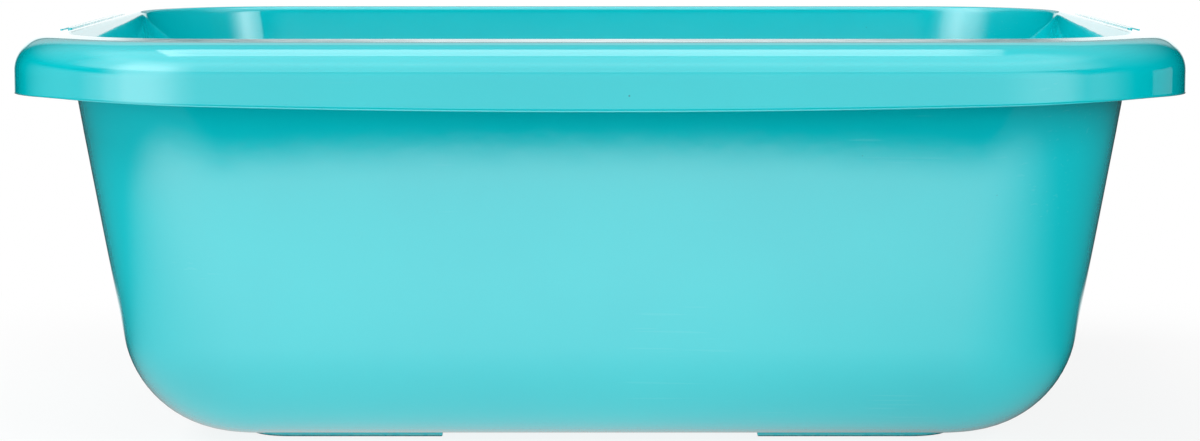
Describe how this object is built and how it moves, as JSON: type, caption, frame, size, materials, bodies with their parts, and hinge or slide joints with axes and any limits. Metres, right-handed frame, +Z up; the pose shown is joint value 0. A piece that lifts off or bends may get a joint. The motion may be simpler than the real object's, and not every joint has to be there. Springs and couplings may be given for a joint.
{
  "type": "plastic basin",
  "caption": "Rectangular washing-up basin in glossy teal plastic, with drafted walls, a wide turned-down rim to grip and low corner feet.",
  "frame": {"origin": "on the ground, under the middle of the basin", "axes": "+X along the length, +Y across the width, +Z up out of the opening"},
  "size_m": [0.4, 0.313, 0.142],
  "materials": {
    "teal_polypropylene": "glossy injection-moulded polypropylene, faintly rippled by the mould"
  },
  "bodies": {
    "root": {"floor_tray": "teal_polypropylene", "side_wall": "teal_polypropylene", "rim_land": "teal_polypropylene", "rim_skirt": "teal_polypropylene", "foot_front_left": "teal_polypropylene", "foot_front_right": "teal_polypropylene", "foot_rear_left": "teal_polypropylene", "foot_rear_right": "teal_polypropylene", "grip_bead_inner_left": "teal_polypropylene", "grip_bead_inner_right": "teal_polypropylene", "grip_bead_outer_left": "teal_polypropylene", "grip_bead_outer_right": "teal_polypropylene", "gate_nub": "teal_polypropylene"}
  },
  "joints": []
}
